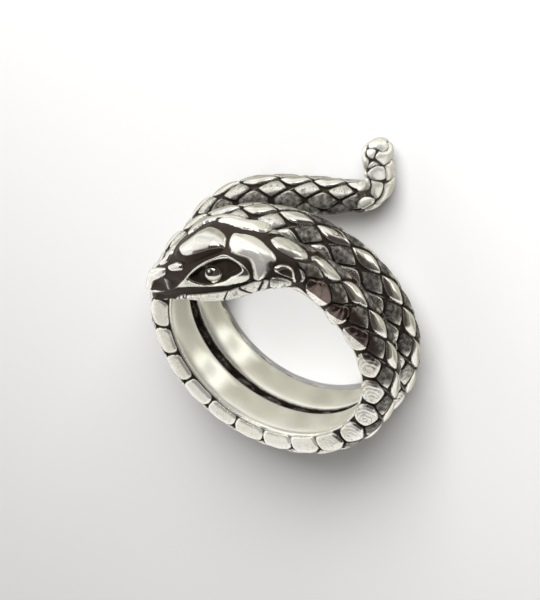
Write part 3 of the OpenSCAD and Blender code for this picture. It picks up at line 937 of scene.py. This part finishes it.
def silver_material():
    mat = bpy.data.materials.new("oxidised_silver")
    mat.use_nodes = True
    make = Nodes(mat.node_tree)
    out = make.add("ShaderNodeOutputMaterial")
    bsdf = make.add("ShaderNodeBsdfPrincipled")
    make.feed(out.inputs[0], bsdf.outputs[0])

    # the four wear values of the skin, whose darkness also holds painted shade and a painted glint
    wear_and_shade = make.add("ShaderNodeVertexColor")
    wear_and_shade.layer_name = "wear_and_shade"
    split = make.add("ShaderNodeSeparateColor")
    make.feed(split.inputs[0], wear_and_shade.outputs["Color"])
    dark, rough, matte = split.outputs
    red = wear_and_shade.outputs["Alpha"]

    place = make.add("ShaderNodeTexCoord").outputs["Object"]
    fine = make.noise(place, *FINE_NOISE)
    mid = make.noise(place, *MID_NOISE)
    wide = make.noise(place, *WIDE_NOISE)
    flat = make.add("ShaderNodeMapping")
    flat.inputs["Scale"].default_value = (0.12, 0.12, 1)
    make.feed(flat.inputs["Vector"], place)
    streaks = make.noise(flat.outputs[0], *STREAK_NOISE)

    # oxide in the recesses, painted shade on parts of the head and diamonds, and grime in the pits of rough
    # places
    pits = make.math("MULTIPLY", make.ramp(fine, 0.5, 0.66), rough)
    blot = make.math("MULTIPLY", make.ramp(mid, 0.52, 0.66), rough)
    grime = make.math("MULTIPLY", make.math("MAXIMUM", pits, blot), 0.8)
    uneven_dark = make.math("ADD", dark, make.math("MULTIPLY_ADD", mid, 0.5, -0.25))
    stain_and_shade = make.math("MAXIMUM", make.ramp(uneven_dark, 0.25, 0.75), grime)

    metal = make.mix(make.ramp(wide, 0.4, 0.62), POLISHED, YELLOWED)
    metal = make.mix(matte, metal, CREAM)
    metal = make.mix(make.math("MULTIPLY", red, 0.9), metal, DARK_RED)
    make.feed(bsdf.inputs["Base Color"], make.mix(stain_and_shade, metal, OXIDE_AND_SHADE))

    shine = make.math("MULTIPLY_ADD", rough, 0.16, 0.10)
    shine = make.math("MULTIPLY_ADD", matte, 0.38, shine)
    make.feed(bsdf.inputs["Roughness"], make.math("MULTIPLY_ADD", stain_and_shade, 0.35, shine, clamp=True))
    metallic = make.math("MULTIPLY_ADD", stain_and_shade, -0.17, 1.0)
    make.feed(bsdf.inputs["Metallic"], make.math("MULTIPLY_ADD", matte, -0.55, metallic, clamp=True))

    rub = make.math("MULTIPLY", fine, make.math("MULTIPLY_ADD", rough, 1.0, 0.03))
    rub = make.math("MULTIPLY_ADD", streaks, make.math("MULTIPLY", matte, 0.2), rub)
    relief = make.add("ShaderNodeBump")
    relief.inputs["Strength"].default_value = 0.5
    relief.inputs["Distance"].default_value = BUMP_H
    make.feed(relief.inputs["Height"], rub)
    make.feed(bsdf.inputs["Normal"], relief.outputs[0])
    return mat


SILVER = silver_material()

# Columns round the body: close together over the scales, wider on the smooth inner band.
SKIN_COLS = 110
BAND_COLS = 20
# angle from the back where the scales' columns end
DENSE_A = 136
BODY_COLS = np.concatenate([
    np.linspace(-DENSE_A, DENSE_A, SKIN_COLS),
    np.linspace(DENSE_A, 360 - DENSE_A, BAND_COLS + 2)[1:-1],
])
COLS = len(BODY_COLS)
# distance between rows, and the distances from the snout where the head, wrap_front and wrap_back end
STEP = 0.085
HEAD_END = 13.0
MIDDLE = 73.0
TAIL_START = 134.0
# length over which the columns of the head and tail become even
SEAM_EASE = 1.6
# the point that closes the head or the tail: height over its last row, and length that gives its direction
POLE_OUT = 0.02
POLE_BACK = 0.5
# rows of the head, of the tail and of its rounded end
HEAD_ROW_COUNT = 215
TAIL_ROW_COUNT = 160
END_ROW_COUNT = 18


def fine_columns(away):
    """Twice the body's columns at the seam (away = 0), which spread evenly farther from it."""
    both = np.empty(2 * COLS)
    both[0::2] = BODY_COLS
    both[1::2] = (BODY_COLS + np.append(BODY_COLS[1:], BODY_COLS[0] + 360)) / 2
    even = BODY_COLS[0] + np.arange(2 * COLS) * 180 / COLS
    k = smooth(away)[:, None]
    return (1 - k) * both + k * even


def body_piece(name, start, end):
    """A length of the body, with one more row each side for the normals at its ends."""
    rows = int(round((end - start) / STEP)) + 1
    d = start + (end - start) * np.arange(-1, rows + 1) / (rows - 1)
    pts, normals, flip, wear_and_shade = skin(d, np.broadcast_to(BODY_COLS, (len(d), COLS)))
    return make_piece(name, pts[1:-1], normals[1:-1], flip, wear_and_shade[1:-1])


def end_piece(name, d, seam_last):
    """The head or the tail, which meets the body in one ring and closes in a point."""
    seam = d[-1] if seam_last else d[0]
    beyond = seam + (STEP if seam_last else -STEP)
    full = np.append(d, beyond) if seam_last else np.insert(d, 0, beyond)
    pts, normals, flip, wear_and_shade = skin(full, fine_columns(np.abs(full - seam) / SEAM_EASE))
    keep = slice(0, -1) if seam_last else slice(1, None)
    pts, normals, wear_and_shade = pts[keep].copy(), normals[keep], wear_and_shade[keep]
    ring = pts[-1 if seam_last else 0]
    ring[1::2] = (ring[0::2] + np.roll(ring[0::2], -1, 0)) / 2
    way = HEAD_ON_V if seam_last else unit(frames(d[-1:])[0][0] - frames(d[-1:] - POLE_BACK)[0][0])
    pole = pts[0 if seam_last else -1].mean(0) + POLE_OUT * way
    poles = {"first_pole" if seam_last else "last_pole": (pole, way)}
    return make_piece(name, pts, normals, flip, wear_and_shade, **poles)


def head_rows():
    """Distances of the head's rows from the snout, closer together toward it."""
    k = np.linspace(0, 1, HEAD_ROW_COUNT)
    return HEAD_END * (0.2 * k + 0.8 * k**1.12) + 0.012 * (1 - k)


def tail_rows():
    """Distances of the tail's rows, closer together over its rounded end."""
    k = np.linspace(0, 1, END_ROW_COUNT)[1:]
    return np.concatenate([
        np.linspace(TAIL_START, ALL_L - END_ROUND, TAIL_ROW_COUNT),
        ALL_L - END_ROUND * (1 - np.sin(k * math.pi / 2 * 0.985)),
    ])


end_piece("head", head_rows(), True)
body_piece("wrap_front", HEAD_END, MIDDLE)
body_piece("wrap_back", MIDDLE, TAIL_START)
end_piece("tail", tail_rows(), False)


# Floor and light.
FLOOR_SIZE = 1.2
FLOOR_COLOUR = (0.535, 0.535, 0.531, 1)


def table_material():
    mat = bpy.data.materials.new("pale_table")
    mat.use_nodes = True
    b = mat.node_tree.nodes["Principled BSDF"]
    b.inputs["Base Color"].default_value = FLOOR_COLOUR
    b.inputs["Roughness"].default_value = 0.4
    b.inputs["Specular IOR Level"].default_value = 0.3
    return mat


bpy.ops.mesh.primitive_plane_add(size=FLOOR_SIZE, location=(0, 0, FLOOR_Z))
floor = bpy.context.object
floor.name = "floor"
floor.data.materials.append(table_material())
floor.visible_glossy = False


def add_light(light, place, aim=None, glossy=True):
    ob = bpy.data.objects.new(light.name, light)
    ob.location = place
    if aim:
        ob.rotation_euler = (Vector(aim) - Vector(place)).to_track_quat("-Z", "Y").to_euler()
    ob.visible_glossy = glossy
    bpy.context.scene.collection.objects.link(ob)


def square_light(name, size, power):
    light = bpy.data.lights.new(name, "AREA")
    light.shape = "SQUARE"
    light.size = size
    light.energy = power
    return light


# the table's own light, which leaves no glare on the metal, brightest behind the ring
TABLE_LIGHT_AT = (0.08, -0.18, 0.125)
table_light = square_light("table_light", size=0.15, power=1.56)
add_light(table_light, TABLE_LIGHT_AT, aim=(0, 0, FLOOR_Z), glossy=False)

# a weak softbox for the highlights
KEY_AT = (0.20, -0.21, 0.10)
KEY_AIM = (0, 0, 0.003)
add_light(square_light("key_softbox", size=0.14, power=0.11), KEY_AT, aim=KEY_AIM)

# a narrow light down the finger hole, so the table inside it is as bright as round the ring
HOLE_LIGHT_AT = (-0.0018, 0.003, 0.2)
snoot = bpy.data.lights.new("hole_light", "SPOT")
snoot.energy = 1.95
snoot.shadow_soft_size = 0.001
snoot.spot_size = math.radians(4.7)
snoot.spot_blend = 0.5
add_light(snoot, HOLE_LIGHT_AT, glossy=False)

# The room, by the direction of its light: bright all round, but dark where the near faces look.
# Dark places: direction, radius and soft edge in degrees, depth.
DARK_PLACES = [
    ((-0.15, -0.66, 0.74), 56, 14, 1.0),
    ((-0.55, -0.83, -0.02), 36, 12, 0.85),
    ((0.1, 0.4, 0.9), 26, 20, 0.38),
]
DARK_SIDES = (0.066, 0.052, 0.048, 1)
# darkest and brightest light of the room, and of the table, which the finger hole's wall mirrors
ROOM_LOW = (0.78, 0.765, 0.745, 1)
ROOM_HIGH = (1.24, 1.22, 1.185, 1)
TABLE_LOW = (0.38, 0.365, 0.30, 1)
TABLE_HIGH = (0.68, 0.66, 0.58, 1)
# a bright spot on the table: direction, radius, soft edge and colour
GLARE = ((-0.19, -0.66, -0.72), 5, 16)
GLARE_COLOUR = (1.6, 1.6, 1.5, 1)
# the directions that meet the table, as radius and soft edge round straight down
TABLE_SEEN = ((0, 0, -1), 50, 16)
# noise of the room, how far it moves the edges of these places, and its darkest and brightest values
ROOM_NOISE = (3.5, 3.0, 0.5)
WAVE = 0.3
UNEVEN_AT = (0.35, 0.65)

world = bpy.data.worlds.new("studio")
bpy.context.scene.world = world
world.use_nodes = True
room = Nodes(world.node_tree)
room_out = room.add("ShaderNodeOutputWorld")
room_light = room.add("ShaderNodeBackground")
way_in = room.add("ShaderNodeTexCoord").outputs["Generated"]
wave = room.noise(way_in, *ROOM_NOISE)


def place_in_room(way, radius, soft):
    """1 within the radius (in degrees) of a direction, 0 farther than radius + soft, with a wavy edge."""
    dot = room.add("ShaderNodeVectorMath")
    dot.operation = "DOT_PRODUCT"
    dot.inputs[1].default_value = Vector(way).normalized()
    room.feed(dot.inputs[0], way_in)
    wavy = room.math("MULTIPLY_ADD", wave, WAVE, dot.outputs["Value"])
    low = math.cos(math.radians(radius + soft)) + WAVE / 2
    high = math.cos(math.radians(radius)) + WAVE / 2
    return room.ramp(wavy, low, high)


light_left = 1.0
for way, radius, soft, depth in DARK_PLACES:
    left = room.math("MULTIPLY_ADD", place_in_room(way, radius, soft), -depth, 1.0)
    light_left = room.math("MULTIPLY", light_left, left)
uneven = room.ramp(wave, *UNEVEN_AT, kind="LINEAR")
sides = room.mix(light_left, DARK_SIDES, room.mix(uneven, ROOM_LOW, ROOM_HIGH))
table = room.mix(uneven, TABLE_LOW, TABLE_HIGH)
below = room.mix(place_in_room(*GLARE), table, GLARE_COLOUR)
room.feed(room_light.inputs["Color"], room.mix(place_in_room(*TABLE_SEEN), sides, below))
room.feed(room_out.inputs[0], room_light.outputs[0])

# The camera, at the photograph's angle: place in millimetres; azimuth, fall and roll in degrees.
CAM_AT = (1.68, -124.34, 134.60)
CAM_AZ = 0.26
CAM_DOWN = 47.73
CAM_ROLL = -136.09
# focal length in pixels of the photograph, and its width
FOCAL_PX = 2200
PHOTO_W = 540
SENSOR = 36
az, down, roll = (math.radians(v) for v in (CAM_AZ, CAM_DOWN, CAM_ROLL))
look = Vector((math.sin(az) * math.cos(down), math.cos(az) * math.cos(down), -math.sin(down)))
level = look.cross(Vector((0, 0, 1))).normalized()
above = level.cross(look)
right = level * math.cos(roll) + above * math.sin(roll)
up = right.cross(look)
turn = Matrix((right, up, -look)).transposed()
cam_data = bpy.data.cameras.new("camera")
cam_data.sensor_fit = "HORIZONTAL"
cam_data.sensor_width = SENSOR
cam_data.lens = FOCAL_PX / PHOTO_W * SENSOR
cam_data.clip_start = 0.005
cam = bpy.data.objects.new("camera", cam_data)
cam.matrix_world = Matrix.Translation(Vector(CAM_AT) * MM) @ turn.to_4x4()
bpy.context.scene.collection.objects.link(cam)
bpy.context.scene.camera = cam

# the photograph is bright and hard in contrast
bpy.context.scene.view_settings.view_transform = "Standard"
